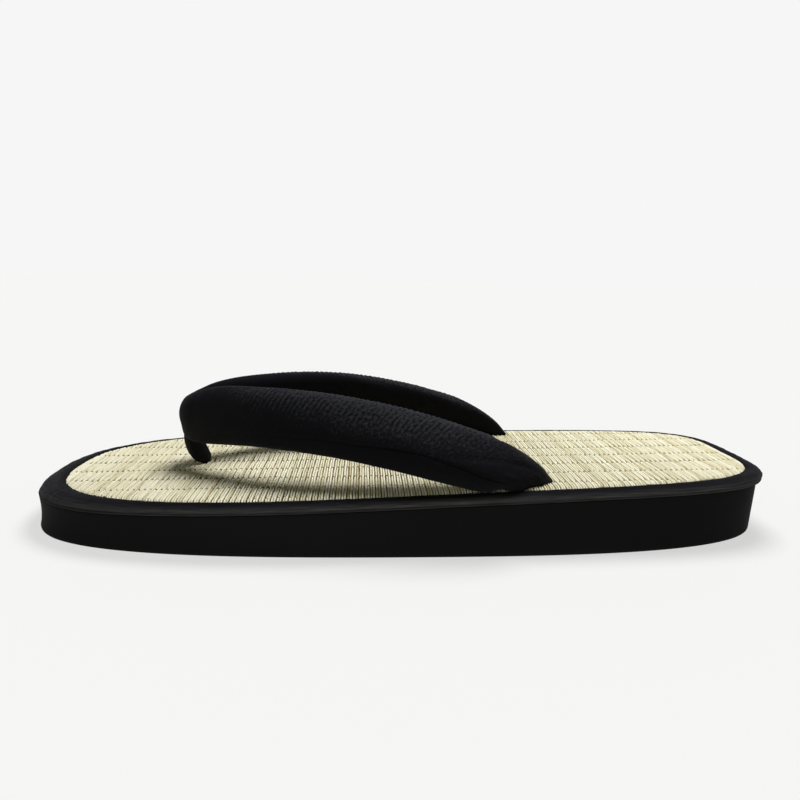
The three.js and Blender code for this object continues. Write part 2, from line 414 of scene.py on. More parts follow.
def addValues(mesh, name, values):
    spare = len(mesh.vertices) - values.size
    column = np.concatenate([values.ravel(), np.zeros(spare)]).astype(np.float32)
    mesh.attributes.new(name, "FLOAT", "POINT").data.foreach_set("value", column)


def addPiece(mesh, node):
    piece = bpy.data.objects.new(mesh.name, mesh)
    scene.collection.objects.link(piece)
    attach(piece, "root")
    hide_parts(node)
    return piece


# geometry trees: named inputs, and the finished result as a plain mesh
def treeWith(name, sizes, counts):
    tree = bpy.data.node_groups.new(name, "GeometryNodeTree")
    ids = {}

    def addInput(label, kind, value=None):
        socket = tree.interface.new_socket(name=label, in_out="INPUT", socket_type=kind)
        if value is not None:
            socket.default_value = value
        ids[label] = socket.identifier

    addInput("Geometry", "NodeSocketGeometry")
    for label, value in sizes.items():
        addInput(label, "NodeSocketFloat", value)
    for label, value in counts.items():
        addInput(label, "NodeSocketInt", value)
    addInput("Finish", "NodeSocketMaterial")
    tree.interface.new_socket(name="Geometry", in_out="OUTPUT", socket_type="NodeSocketGeometry")
    inputs = addNode(tree, "NodeGroupInput").socket.node.outputs
    return tree, ids, {socket.name: Value(socket) for socket in inputs if socket.name}


def closeTree(tree, shape, finish):
    smooth = nodeFrom("GeometryNodeSetShadeSmooth", {"Geometry": shape})
    whole = nodeFrom("GeometryNodeRealizeInstances", {"Geometry": smooth})
    dressed = nodeFrom("GeometryNodeSetMaterial", {"Geometry": whole, "Material": finish})
    setInputs(tree.nodes.new("NodeGroupOutput"), {"Geometry": dressed})


def named(tree, name):
    values = {"Name": name}
    return addNode(tree, "GeometryNodeInputNamedAttribute", values, "Attribute", data_type="FLOAT")


def stored(shape, name, value):
    values = {"Geometry": shape, "Name": name, "Value": value}
    return nodeFrom("GeometryNodeStoreNamedAttribute", values, data_type="FLOAT", domain="POINT")


def placed(shape, values):
    return nodeFrom("GeometryNodeSetPosition", {"Geometry": shape, **values})


# 1 at no distance, and less on both sides
def bell(distance):
    return calc("EXPONENT", distance * distance * -1.0)


def treeMesh(name, start, tree, ids, values):
    holder = bpy.data.objects.new(name + "_holder", start)
    scene.collection.objects.link(holder)
    modifier = holder.modifiers.new("shape", "NODES")
    modifier.node_group = tree
    for label, value in values.items():
        modifier[ids[label]] = value
    bpy.context.view_layer.update()
    ready = holder.evaluated_get(bpy.context.evaluated_depsgraph_get())
    mesh = bpy.data.meshes.new_from_object(ready)
    mesh.name = name
    holder.modifiers.remove(modifier)
    bpy.data.objects.remove(holder)
    return mesh


# outlines of the mat and of the sole's underside, seen from above
shoe = {
    "midLengthX": -0.9 * mm,
    "matTopHeight": 20.3 * mm,
    "wedgeSlope": 4.0 / 127.0,
    "stations": 800,  # points round each outline
    "endStart": 0.5,  # share of the half-length where sizes start to change to the ends
}
matOutline = {
    "forward": 0.0,
    "halfLength": 127.7 * mm,
    "halfWidth": 42.35 * mm,
    "widerToToe": 7.74 * mm,
    "widerToEnds": 2.83 * mm,
    "toePower": 2.58,
    "heelPower": 4.35,
}
soleOutline = {
    "forward": 0.6 * mm,
    "halfLength": 132.8 * mm,
    "halfWidth": 47.6 * mm,
    "widerToToe": 1.5 * mm,
    "widerToEnds": -4.6 * mm,
    "toePower": 3.8,
    "heelPower": 3.7,
}
outlineAngle = np.linspace(0.0, fullTurn, shoe["stations"], endpoint=False)


def matTopAt(x):
    return shoe["matTopHeight"] - shoe["wedgeSlope"] * (x - shoe["midLengthX"])


def outlinePoints(shape):
    c, s = np.cos(outlineAngle), np.sin(outlineAngle)
    power = np.where(c >= 0.0, shape["toePower"], shape["heelPower"])
    scale = (np.abs(c) ** power + np.abs(s) ** power) ** (-1.0 / power)
    along = c * scale
    width = shape["halfWidth"] + shape["widerToToe"] * along + shape["widerToEnds"] * along**2
    x = shoe["midLengthX"] + shape["forward"] + shape["halfLength"] * along
    return np.stack([x, width * s * scale], axis=1)


def movedOut(points, distance):
    step = np.roll(points, -1, 0) - np.roll(points, 1, 0)
    normal = np.stack([step[:, 1], -step[:, 0]], axis=1)
    normal /= np.linalg.norm(normal, axis=1)[:, None]
    return points + normal * np.broadcast_to(distance, len(points))[:, None]


# the mean of some sine waves, with their heights, numbers and starts drawn from these ranges
wave = {"height": (0.4, 1.0), "number": (1, 9), "start": (0.0, 6.28)}


def waves(values, seed, count):
    draw = np.random.default_rng(seed)
    total = np.zeros_like(values)
    for _ in range(count):
        height, number = draw.uniform(*wave["height"]), draw.integers(*wave["number"])
        total += height * np.sin(values * number + draw.uniform(*wave["start"]))
    return total / count


matEdge = outlinePoints(matOutline)


def roundTheEdge(sizes):
    along = (matEdge[:, 0] - shoe["midLengthX"]) / matOutline["halfLength"]
    spread = np.clip((np.abs(along) - shoe["endStart"]) / (1.0 - shoe["endStart"]), 0.0, 1.0)
    end = np.where(along > 0.0, sizes["toe"], sizes["heel"])
    return (sizes["side"] + (end - sizes["side"]) * spread**2) * mm


# binding: a cloth tape rolled over the mat's edge, with a narrow hem under it, in mm
binding = {
    "out": {"side": 3.8, "toe": 6.6, "heel": 6.0},
    "cover": {"side": 0.0, "toe": 2.1, "heel": 0.6},
    "section": [  # share of the width, and height from the mat's top
        (0.0, -1.2), (0.0, -0.72), (0.08, -0.55), (0.2, -0.28), (0.36, -0.18), (0.54, -0.34),
        (0.72, -0.72), (0.88, -1.35), (1.0, -2.1), (0.985, -2.6), (0.968, -2.95), (0.972, -3.2),
        (0.974, -3.55), (0.95, -3.95), (0.52, -3.95), (0.52, -1.2),
    ],
    "paintedHighlightAndShade": {  # painted highlight and shade at each point of the section: dark next to the mat as a painted shadow, pale on the roll as a painted highlight
        "side": [0.0, 0.0, 0.0, 0.0, 0.01, 0.04, 0.3, 0.95, 1.0, 0.8, 0.35, 0.5, 0.6, 0.35, 0.0, 0.0],
        "toe": [0.0, 0.0, 0.04, 0.2, 0.34, 0.36, 0.36, 0.42, 0.6, 0.45, 0.25, 0.16, 0.12, 0.1, 0.0, 0.0],
        "heel": [0.0, 0.0, 0.0, 0.08, 0.16, 0.2, 0.26, 0.4, 0.55, 0.5, 0.4, 0.85, 1.0, 0.5, 0.0, 0.0],
    },
    "flare": {"side": 0.0, "toe": 1.5, "heel": 0.0},  # how much more its lower part reaches out
    "lower": {"side": 0.0, "toe": 0.45, "heel": 0.0},  # how much lower the hem ends
    "hemWidth": 0.6,  # the hem is past this share of the width, and grows from one depth to another
    "hemFrom": 2.0,
    "hemTo": 3.4,
    "lean": 0.03,  # how far round the outline a pucker moves over the tape's width
    "pucker": 0.14,
    "puckers": [(11.0, 11, 1.0), (29.0, 23, 0.6)],  # waves round the outline, seed, share
    "puckerWaves": 9,
    "puckerHeight": (-1.0, 2.0),  # where the puckers lift the tape most, and how far from there none do
    "folds": [  # place along the sandal, reach along it, depth, waves round the outline
        (-37.0, 13.0, 0.30, 34.0),
        (112.0, 16.0, 0.30, 19.0),
    ],
    "foldSeed": 41,
    "foldWaves": 8,
}


# each corner gives way to two points, a quarter of the way along its sides
def cornersCut(points, rounds):
    for _ in range(rounds):
        after = np.roll(points, -1, 0)
        points = np.stack([0.75 * points + 0.25 * after, 0.25 * points + 0.75 * after], axis=1)
        points = points.reshape(-1, 2)
    return points


def puckersAt(reach):
    lean = outlineAngle + binding["lean"] * reach
    pucker = np.zeros_like(lean)
    for turns, seed, share in binding["puckers"]:
        pucker += share * waves(lean * turns, seed, binding["puckerWaves"]) * binding["pucker"]
    for place, spread, depth, turns in binding["folds"]:
        near = np.exp(-(((matEdge[:, 0] / mm - place) / spread) ** 2))
        pucker += near * depth * waves(lean * turns, binding["foldSeed"], binding["foldWaves"])
    return pucker * mm


def makeBinding():
    section = cornersCut(np.array(binding["section"]), 2)
    width, cover, flare, lower = (roundTheEdge(binding[key]) for key in ("out", "cover", "flare", "lower"))
    liftAt, liftReach = binding["puckerHeight"]
    rings = []
    for reach, rise in section:
        pucker = puckersAt(reach)
        grown = (-rise - binding["hemFrom"]) / (binding["hemTo"] - binding["hemFrom"])
        hem = min(1.0, max(0.0, grown)) if reach > binding["hemWidth"] else 0.0
        flat = movedOut(matEdge, (width + cover) * reach - cover + pucker * reach + flare * hem)
        lift = pucker * max(0.0, 1.0 - abs(rise - liftAt) / liftReach) - lower * hem
        rings.append(np.column_stack([flat, matTopAt(flat[:, 0]) + rise * mm + lift]))
    mesh = skinMesh("edge_binding_cloth", np.array(rings).transpose(1, 0, 2), tape, joined=True)
    # painted highlight and shade of the tape, for each ring of the section
    steps = len(binding["section"]) - 1
    along = np.linspace(0.0, steps, len(section))
    paintedHighlightAndShade = [np.interp(along, np.arange(steps + 1), line) for line in binding["paintedHighlightAndShade"].values()]
    tones = [roundTheEdge(dict(zip(binding["paintedHighlightAndShade"], values))) / mm for values in zip(*paintedHighlightAndShade)]
    addValues(mesh, "paintedHighlightAndShade", np.array(tones).T)
    return mesh


addPiece(makeBinding(), "edge_binding")
print("binding made")

# sole: flat underside, small rounded lower edge, plain side up to the hem
sole = {
    "topOut": {"side": 3.4, "toe": 7.8, "heel": 4.1},
    "topDepth": 4.0 * mm,
    "topRadius": 0.5 * mm,
    "topTurns": (30.0, 60.0, 90.0),  # degrees round the upper edge
    "edge": [(1.2, 0.0), (0.8, 0.07), (0.45, 0.3), (0.25, 0.54), (0.12, 0.8), (0.03, 1.2), (0.0, 1.6)],
    "floorRings": (0.35, 0.7),  # sizes of the rings inside the underside's edge
    "sideRings": 10,
    "slack": 0.10 * mm,  # how uneven the moulded side is
    "slackSeed": 5,
    "slackWaves": 6,
}


def makeSole():
    floorEdge = outlinePoints(soleOutline)
    topEdge = movedOut(matEdge, roundTheEdge(sole["topOut"]))
    slack = waves(outlineAngle * 2.0, sole["slackSeed"], sole["slackWaves"]) * sole["slack"]
    rings = []
    for share in sole["floorRings"]:
        inner = movedOut(floorEdge, -sole["edge"][0][0] * mm) * share
        rings.append(np.column_stack([inner, np.zeros(len(inner))]))
    for inset, height in sole["edge"]:
        flat = movedOut(floorEdge, -inset * mm)
        rings.append(np.column_stack([flat, np.full(len(flat), height * mm)]))
    low = np.array(rings[-1])
    shoulder = sole["topDepth"] + sole["topRadius"]
    high = np.column_stack([topEdge, matTopAt(topEdge[:, 0]) - shoulder])
    for share in np.linspace(0.0, 1.0, sole["sideRings"] + 1)[1:]:
        ring = low + (high - low) * share
        ring[:, :2] = movedOut(ring[:, :2], slack * math.sin(math.pi * share))
        rings.append(ring)
    for turn in sole["topTurns"]:
        back = sole["topRadius"] * (1.0 - math.cos(math.radians(turn)))
        up = sole["topRadius"] * math.sin(math.radians(turn))
        flat = movedOut(topEdge, -back)
        rings.append(np.column_stack([flat, matTopAt(flat[:, 0]) - shoulder + up]))
    return skinMesh("foam_sole", np.array(rings), foam)


addPiece(makeSole(), "sole")
print("sole made")

# strap: rows from the nose to the slit, its top and low edges and its padding, in mm
strap = {
    "rows": [  # topX, topY, topZ, lowX, lowY, lowZ, outer, inner
        (80.9, 0.0, 44.8, 81.4, 0.0, 26.9, 6.0, 2.6),
        (79.3, 2.6, 45.8, 79.9, 3.6, 27.0, 5.9, 2.9),
        (75.0, 4.8, 47.7, 75.8, 8.2, 27.3, 5.6, 3.6),
        (67.5, 8.3, 49.3, 69.0, 13.8, 28.5, 5.5, 4.6),
        (54.0, 14.9, 50.2, 56.0, 23.0, 30.4, 5.6, 5.4),
        (38.0, 20.3, 50.2, 41.3, 30.5, 31.0, 5.6, 5.6),
        (22.0, 23.7, 48.9, 27.0, 35.5, 30.5, 5.6, 5.6),
        (6.0, 26.0, 46.2, 13.0, 39.4, 28.9, 5.6, 5.6),
        (-10.0, 28.1, 42.2, -0.7, 43.0, 26.9, 5.6, 5.6),
        (-26.0, 29.8, 36.8, -14.2, 44.7, 24.2, 5.5, 5.5),
        (-38.0, 31.0, 30.7, -23.5, 44.6, 22.2, 5.0, 5.0),
        (-46.2, 31.9, 24.6, -29.5, 41.4, 22.0, 3.9, 4.0),
        (-49.6, 32.0, 20.5, -32.0, 37.8, 19.6, 2.6, 2.6),
        (-50.2, 32.0, 13.0, -33.0, 37.4, 12.0, 2.5, 2.5),
    ],
    "rightForward": 2.0,  # how much nearer to the toe the right branch meets the mat
    "rightRows": 4,  # rows at its end that are moved whole, and the rows over which this fades
    "rightFade": 5,
    "tail": 0.45,  # how far along the last row the shown skin ends, inside the slit
    "power": 2.25,
    "stations": 960,
    "around": 100,
    "fineSteps": 4000,  # steps by which the length along the strap and the angle round it are measured
    "fineAngles": 2001,
    "seamTurn": 2.18,  # where the rings' points stand closest, in radians from the top edge
    "seamCrowd": (2.4, 0.26),  # how much closer, and over what angle
    "ribPitch": 1.8 * mm,
    "ribDepth": 0.21 * mm,
    "ribSlant": 0.28,
    "ribDrift": (160.0, 150.0, 6.0),  # scales along and round the strap, and how far the ribs wander
    "ribBreaks": (430.0, 300.0, 3.0, -0.7),  # scales along and round it, and the ribs' change of height
    "ribLimits": (0.2, 1.4),
    "ribLeast": 0.06,  # how much of the ribs is left at the ends and the nose
    "seam": [  # mm from the slit end, and the seam's height on the face, from -1 low to 1 at the top
        (16.0, -0.70), (22.0, -0.695), (28.0, -0.64), (35.0, -0.60), (44.0, -0.53), (55.0, -0.54),
        (65.0, -0.61), (80.0, -0.62), (140.0, -0.66),
    ],
    "seamWidth": 0.42 * mm,
    "seamDepth": 0.5 * mm,
    "seamSharp": 1800.0,  # how quickly cloth gives way to lining, for each metre
    "seamFace": 0.4,  # how far from the edges the seam is full
    "liningSink": 0.22 * mm,
    "creases": [  # mm from the slit end, height on the face, turn in degrees, length, width, depth in mm
        (19.0, 0.05, -24.0, 9.0, 1.1, 0.24),
        (12.0, 0.35, -30.0, 7.0, 0.9, 0.20),
        (27.0, -0.25, -14.0, 9.0, 1.2, 0.18),
        (9.0, -0.35, -38.0, 6.0, 0.9, 0.26),
        (58.0, 0.1, 6.0, 14.0, 1.6, 0.14),
    ],
    "noseHollow": (-0.38, 10.0, 3.4, 0.65),  # height on the face, length, width and depth in mm
    "fades": {  # where each change starts, over what span, and how much there is before it
        "ribTop": (-0.2, 0.75, 0.16),  # by height on the face
        "ribEnd": (14.0, 30.0, 0.0),  # by mm from the slit end
        "ribNose": (22.0, 22.0, 0.0),  # by mm from the nose
        "outside": (-0.32, 0.55, 0.1),  # by side of the strap
        "crepeRear": (18.0, 70.0, 0.0),
        "crepeTop": (-0.1, 1.1, 0.0),
        "crepeRidge": (0.45, 0.45, 0.0),
        "crepeEnd": (12.0, 34.0, 0.3),
        "crepeNose": (8.0, 36.0, 0.3),
        "seamEnd": (6.0, 10.0, 0.0),
        "seamNose": (14.0, 30.0, 0.0),
        "seamRear": (50.0, 45.0, 0.3),
    },
    "crepe": {  # how rough the crepe is, by place; it also lightens the cloth, most on the top and the ridge, as a painted highlight
        "all": 0.12,
        "rear": 0.2,
        "top": 0.6,
        "rearTop": 0.65,
        "ridge": 0.9,
        "ridgeNose": 0.35,
        "lining": 0.15,
    },
}

# the padding's slack: a coarse copy of the strap filled as cloth, at a larger scale
puff = {
    "stations": 140,
    "around": 28,
    "scale": 40.0,
    "frames": 20,
    "quality": 6,
    "pressure": 4.0,
    "held": 9,  # rings at each end that stay
    "most": 0.22 * mm,
}


# the same kind of curve through the rows as in the solid
def curveAt(points, places):
    index = np.clip(np.floor(places).astype(int), 0, len(points) - 2)
    t = (places - index)[:, None]
    p1, p2 = points[index], points[index + 1]
    first, last = (index == 0)[:, None], (index == len(points) - 2)[:, None]
    p0 = np.where(first, 2.0 * p1 - p2, points[np.maximum(index - 1, 0)])
    p3 = np.where(last, 2.0 * p2 - p1, points[np.minimum(index + 2, len(points) - 1)])
    d0 = np.sqrt(np.linalg.norm(p1 - p0, axis=1))[:, None]
    d1 = np.sqrt(np.linalg.norm(p2 - p1, axis=1))[:, None]
    d2 = np.sqrt(np.linalg.norm(p3 - p2, axis=1))[:, None]
    m1 = ((p1 - p0) / d0 - (p2 - p0) / (d0 + d1) + (p2 - p1) / d1) * d1
    m2 = ((p2 - p1) / d1 - (p3 - p1) / (d1 + d2) + (p3 - p2) / d2) * d1
    return p1 + m1 * t + (3.0 * (p2 - p1) - 2.0 * m1 - m2) * t**2 + (2.0 * (p1 - p2) + m1 + m2) * t**3


def unit(vectors):
    return vectors / (np.linalg.norm(vectors, axis=-1, keepdims=True) + 1e-12)


def ringAngles(around):
    fine = np.linspace(0.0, fullTurn, strap["fineAngles"])
    closer, span = strap["seamCrowd"]
    crowd = 1.0 + closer * np.exp(-(((fine - strap["seamTurn"]) / span) ** 2))
    share = np.concatenate([[0.0], np.cumsum(0.5 * (crowd[1:] + crowd[:-1]))])
    return np.interp(np.linspace(0.0, share[-1], around, endpoint=False), share, fine)


def strapGrid(stations, angle):
    half = np.array(strap["rows"])
    mirrored = half[:0:-1] * np.array([1, -1, 1, 1, -1, 1, 1, 1])
    moved = 1.0 - (np.arange(len(mirrored)) + 1 - strap["rightRows"]) / strap["rightFade"]
    mirrored[:, [0, 3]] += strap["rightForward"] * np.clip(moved, 0.0, 1.0)[:, None]
    rows = np.concatenate([mirrored, half])
    spare = 1.0 - strap["tail"]
    fine = np.linspace(spare, len(rows) - 1.0 - spare, strap["fineSteps"])
    middle = 0.5 * (curveAt(rows[:, 0:3], fine) + curveAt(rows[:, 3:6], fine))
    run = np.concatenate([[0.0], np.cumsum(np.linalg.norm(np.diff(middle, axis=0), axis=1))])
    places = np.interp(np.linspace(0.0, run[-1], stations), run, fine)
    shift = np.array([shoe["midLengthX"], 0.0, 0.0])
    top = curveAt(rows[:, 0:3], places) * mm + shift
    low = curveAt(rows[:, 3:6], places) * mm + shift
    index = np.arange(len(rows))
    outer = np.interp(places, index, rows[:, 6])[:, None] * mm
    inner = np.interp(places, index, rows[:, 7])[:, None] * mm
    reach = np.linalg.norm(top - low, axis=1)[:, None]
    across = unit(top - low)
    along = unit(np.gradient(top, axis=0)) + unit(np.gradient(low, axis=0))
    outwards = unit(np.cross(along, across))
    c, s = np.cos(angle), np.sin(angle)
    scale = (np.abs(c) ** strap["power"] + np.abs(s) ** strap["power"]) ** (-1.0 / strap["power"])
    high, deep = (c * scale)[None, :], (s * scale)[None, :]
    depth = np.where(s[None, :] >= 0.0, outer, inner) * deep
    grid = (0.5 * (top + low))[:, None, :] + across[:, None, :] * (0.5 * reach * high)[:, :, None]
    grid = grid + outwards[:, None, :] * depth[:, :, None]
    return {
        "points": grid,
        "run": np.linspace(0.0, run[-1] * mm, stations),
        "high": high,
        "side": s,
        "reach": reach,
    }


def gridNormals(grid):
    along = np.gradient(grid, axis=0)
    around = np.roll(grid, -1, 1) - np.roll(grid, 1, 1)
    normal = unit(np.cross(along, around))
    outward = grid - grid.mean(axis=1, keepdims=True)
    return normal if (normal * outward).sum() > 0.0 else -normal


# ribs across the cloth, and the seam where it meets the smooth lining on the strap's underside
def ribTree():
    sizes = {
        "Rib Pitch": strap["ribPitch"],
        "Rib Depth": strap["ribDepth"],
        "Rib Slant": strap["ribSlant"],
        "Seam Width": strap["seamWidth"],
        "Seam Depth": strap["seamDepth"],
        "Lining Sink": strap["liningSink"],
    }
    tree, ids, size = treeWith("strapRibs", sizes, {})
    along, around, gap = (named(tree, name) for name in ("alongStrap", "roundStrap", "seamGap"))
    scaleAlong, scaleAround, wander = strap["ribDrift"]
    drift = noise(vector(along * scaleAlong, around * scaleAround)) * wander
    rib = calc("SINE", drift + (around * size["Rib Slant"] + along) / size["Rib Pitch"] * fullTurn)
    scaleAlong, scaleAround, change, least = strap["ribBreaks"]
    breaks = noise(vector(along * scaleAlong, around * scaleAround), 1.0, 3.0)
    strength = clamped(breaks * change + least, *strap["ribLimits"])
    clothSide = clamped(gap * strap["seamSharp"] + 0.5)
    ribs = rib * strength * (named(tree, "firm") * clothSide)
    seam = bell(gap / size["Seam Width"]) * size["Seam Depth"]
    lining = (1.0 - clothSide) * size["Lining Sink"]
    height = ribs * size["Rib Depth"] - (seam + lining) * named(tree, "seamFirm")
    offset = scaled(addNode(tree, "GeometryNodeInputNormal"), height)
    shape = stored(placed(size["Geometry"], {"Offset": offset}), "ribs", ribs)
    left = strap["crepe"]["lining"]
    rough = named(tree, "nubs") * (clothSide * (1.0 - left) + left)
    closeTree(tree, stored(shape, "crepe", rough), size["Finish"])
    return tree, ids


# the coarse copy is held at its ends while it fills; the change of its surface comes back in metres
def padding():
    angle = np.linspace(0.0, fullTurn, puff["around"], endpoint=False)
    grid = strapGrid(puff["stations"], angle)["points"]
    mesh = skinMesh("strap_puff", grid * puff["scale"], ribCloth)
    holder = bpy.data.objects.new("strap_puff", mesh)
    scene.collection.objects.link(holder)
    count = puff["stations"] * puff["around"]
    ends = puff["held"] * puff["around"]
    held = holder.vertex_groups.new(name="held")
    held.add([*range(ends), *range(count - ends, len(mesh.vertices))], 1.0, "REPLACE")
    cloth = holder.modifiers.new("puff", "CLOTH")
    cloth.settings.quality = puff["quality"]
    cloth.settings.use_pressure = True
    cloth.settings.uniform_pressure_force = puff["pressure"]
    cloth.settings.vertex_group_mass = held.name
    cloth.settings.effector_weights.gravity = 0.0
    cloth.collision_settings.use_collision = False
    cloth.point_cache.frame_start = 1
    cloth.point_cache.frame_end = puff["frames"]
    for step in range(1, puff["frames"] + 1):
        scene.frame_set(step)
    ready = holder.evaluated_get(bpy.context.evaluated_depsgraph_get())
    flat = np.empty(3 * len(mesh.vertices), dtype=np.float32)
    ready.data.vertices.foreach_get("co", flat)
    filled = flat.reshape(-1, 3)[:count].reshape(grid.shape) / puff["scale"]
    scene.frame_set(1)
    bpy.data.objects.remove(holder)
    rise = ((filled - grid) * gridNormals(grid)).sum(axis=2)
    rise = rise - rise.mean(axis=0, keepdims=True)
    print("padding filled, up to", round(float(np.abs(rise).max() / mm), 2), "mm before its limit")
    return puff["most"] * np.tanh(rise / puff["most"]), angle


def spread(values, angle, stations, angles):
    at = np.linspace(0.0, len(values) - 1.0, stations)
    longer = np.stack([np.interp(at, np.arange(len(values)), column) for column in values.T], axis=1)
    return np.stack([np.interp(angles, angle, row, period=fullTurn) for row in longer])


def smooth(values):
    t = np.clip(values, 0.0, 1.0)
    return t * t * (3.0 - 2.0 * t)


def fade(values, name):
    start, span, least = strap["fades"][name]
    return least + (1.0 - least) * smooth((values - start) / span)


def addCreases(moved, shape, fromEnd, fromNose):
    high, halfReach = shape["high"], 0.5 * shape["reach"] / mm
    for place, level, turn, length, width, depth in strap["creases"]:
        a = fromEnd - place
        b = (high - level) * halfReach
        c, s = math.cos(math.radians(turn)), math.sin(math.radians(turn))
        moved -= depth * mm * np.exp(-(((a * c + b * s) / length) ** 2) - ((b * c - a * s) / width) ** 2)
    level, length, width, depth = strap["noseHollow"]
    below = (high - level) * halfReach / width
    moved -= depth * mm * np.exp(-((fromNose / length) ** 2) - below**2) * (shape["side"] > 0.0)


def makeStrap():
    angles = ringAngles(strap["around"])
    shape = strapGrid(strap["stations"], angles)
    grid, high, side = shape["points"], shape["high"], shape["side"]
    run = shape["run"][:, None] / mm + 0.0 * high
    total = run[-1, 0]
    fromEnd = np.minimum(run, total - run)
    fromNose = np.abs(run - 0.5 * total)
    steps = np.linalg.norm(grid - np.roll(grid, 1, 1), axis=2)
    girth = np.cumsum(steps, axis=1) - steps[:, :1]
    girth = np.where(angles[None, :] <= math.pi, girth, girth - steps.sum(axis=1, keepdims=True))
    moved = spread(*padding(), strap["stations"], angles)
    addCreases(moved, shape, fromEnd, fromNose)
    mesh = skinMesh("strap_start", grid + gridNormals(grid) * moved[:, :, None], ribCloth)
    addValues(mesh, "alongStrap", fromNose * mm)
    addValues(mesh, "roundStrap", girth)
    seamAt = np.interp(fromEnd, *np.array(strap["seam"]).T)
    addValues(mesh, "seamGap", (high - seamAt) * 0.5 * shape["reach"])
    outside = fade(side, "outside")
    ends = fade(fromEnd, "ribEnd") * fade(fromNose, "ribNose")
    ribs = strap["ribLeast"] + (1.0 - strap["ribLeast"]) * ends
    addValues(mesh, "firm", fade(high, "ribTop") * outside * ribs)
    addValues(mesh, "inside", 1.0 - outside + 0.0 * high)
    crepe, rear = strap["crepe"], fade(fromNose, "crepeRear")
    knotted = crepe["all"] + crepe["rear"] * rear
    knotted = knotted + crepe["top"] * fade(high + crepe["rearTop"] * rear, "crepeTop")
    ridge = crepe["ridgeNose"] + (1.0 - crepe["ridgeNose"]) * rear
    knotted = knotted + crepe["ridge"] * fade(high, "crepeRidge") * ridge
    knotted = knotted * fade(fromEnd, "crepeEnd") * fade(fromNose, "crepeNose")
    addValues(mesh, "nubs", knotted * outside)
    seamFirm = fade(fromEnd, "seamEnd") * fade(fromNose, "seamNose") * fade(fromNose, "seamRear")
    addValues(mesh, "seamFirm", seamFirm * np.clip(np.abs(side)[None, :] / strap["seamFace"], 0.0, 1.0))
    tree, ids = ribTree()
    return treeMesh("padded_strap", mesh, tree, ids, {"Finish": ribCloth})


strapPiece = addPiece(makeStrap(), "strap")
print("strap made")

# toe post: a short folded cloth tie on the centre plane, in mm
post = {
    "rows": [  # x, z, half front to back, half across
        (82.6, 29.4, 3.3, 3.6),
        (82.2, 26.6, 3.5, 3.8),
        (81.3, 23.8, 3.6, 3.9),
        (79.8, 21.2, 3.4, 3.7),
        (78.6, 19.5, 2.8, 3.2),
        (78.2, 18.0, 1.4, 1.9),
        (78.3, 15.8, 1.1, 1.5),
    ],
    "hidden": 0.4,  # how far before the last row its skin ends, inside the mat
    "stations": 90,
    "around": 72,
    "folds": [(6.0, 1.0, 1.0), (11.0, -2.0, 0.6)],  # number round the post, turn along it, share
    "foldDepth": 0.10 * mm,
    "twist": 0.8,  # how far the folds turn from end to end, in radians
}


def makePost():
    rows = np.array(post["rows"])
    places = np.linspace(0.0, len(rows) - 1.0 - post["hidden"], post["stations"])
    line = np.column_stack([rows[:, 0], np.zeros(len(rows)), rows[:, 1]])
    line = curveAt(line, places) * mm + np.array([shoe["midLengthX"], 0.0, 0.0])
    half, wide = (np.interp(places, np.arange(len(rows)), rows[:, k])[:, None] * mm for k in (2, 3))
    across = np.array([0.0, 1.0, 0.0])
    front = unit(np.cross(unit(np.gradient(line, axis=0)), across))
    angle = np.linspace(0.0, fullTurn, post["around"], endpoint=False)[None, :]
    twist = np.linspace(0.0, post["twist"], post["stations"])[:, None]
    fold = sum(share * np.sin(angle * count + turn * twist) for count, turn, share in post["folds"])
    fold = (fold - 1.0) * post["foldDepth"]
    deep = (half + fold) * np.sin(angle)
    side = (wide + fold) * np.cos(angle)
    grid = line[:, None, :] + across * side[:, :, None] + front[:, None, :] * deep[:, :, None]
    return skinMesh("cloth_toe_post", grid, postCloth)


addPiece(makePost(), "toe_post")
print("toe post made")

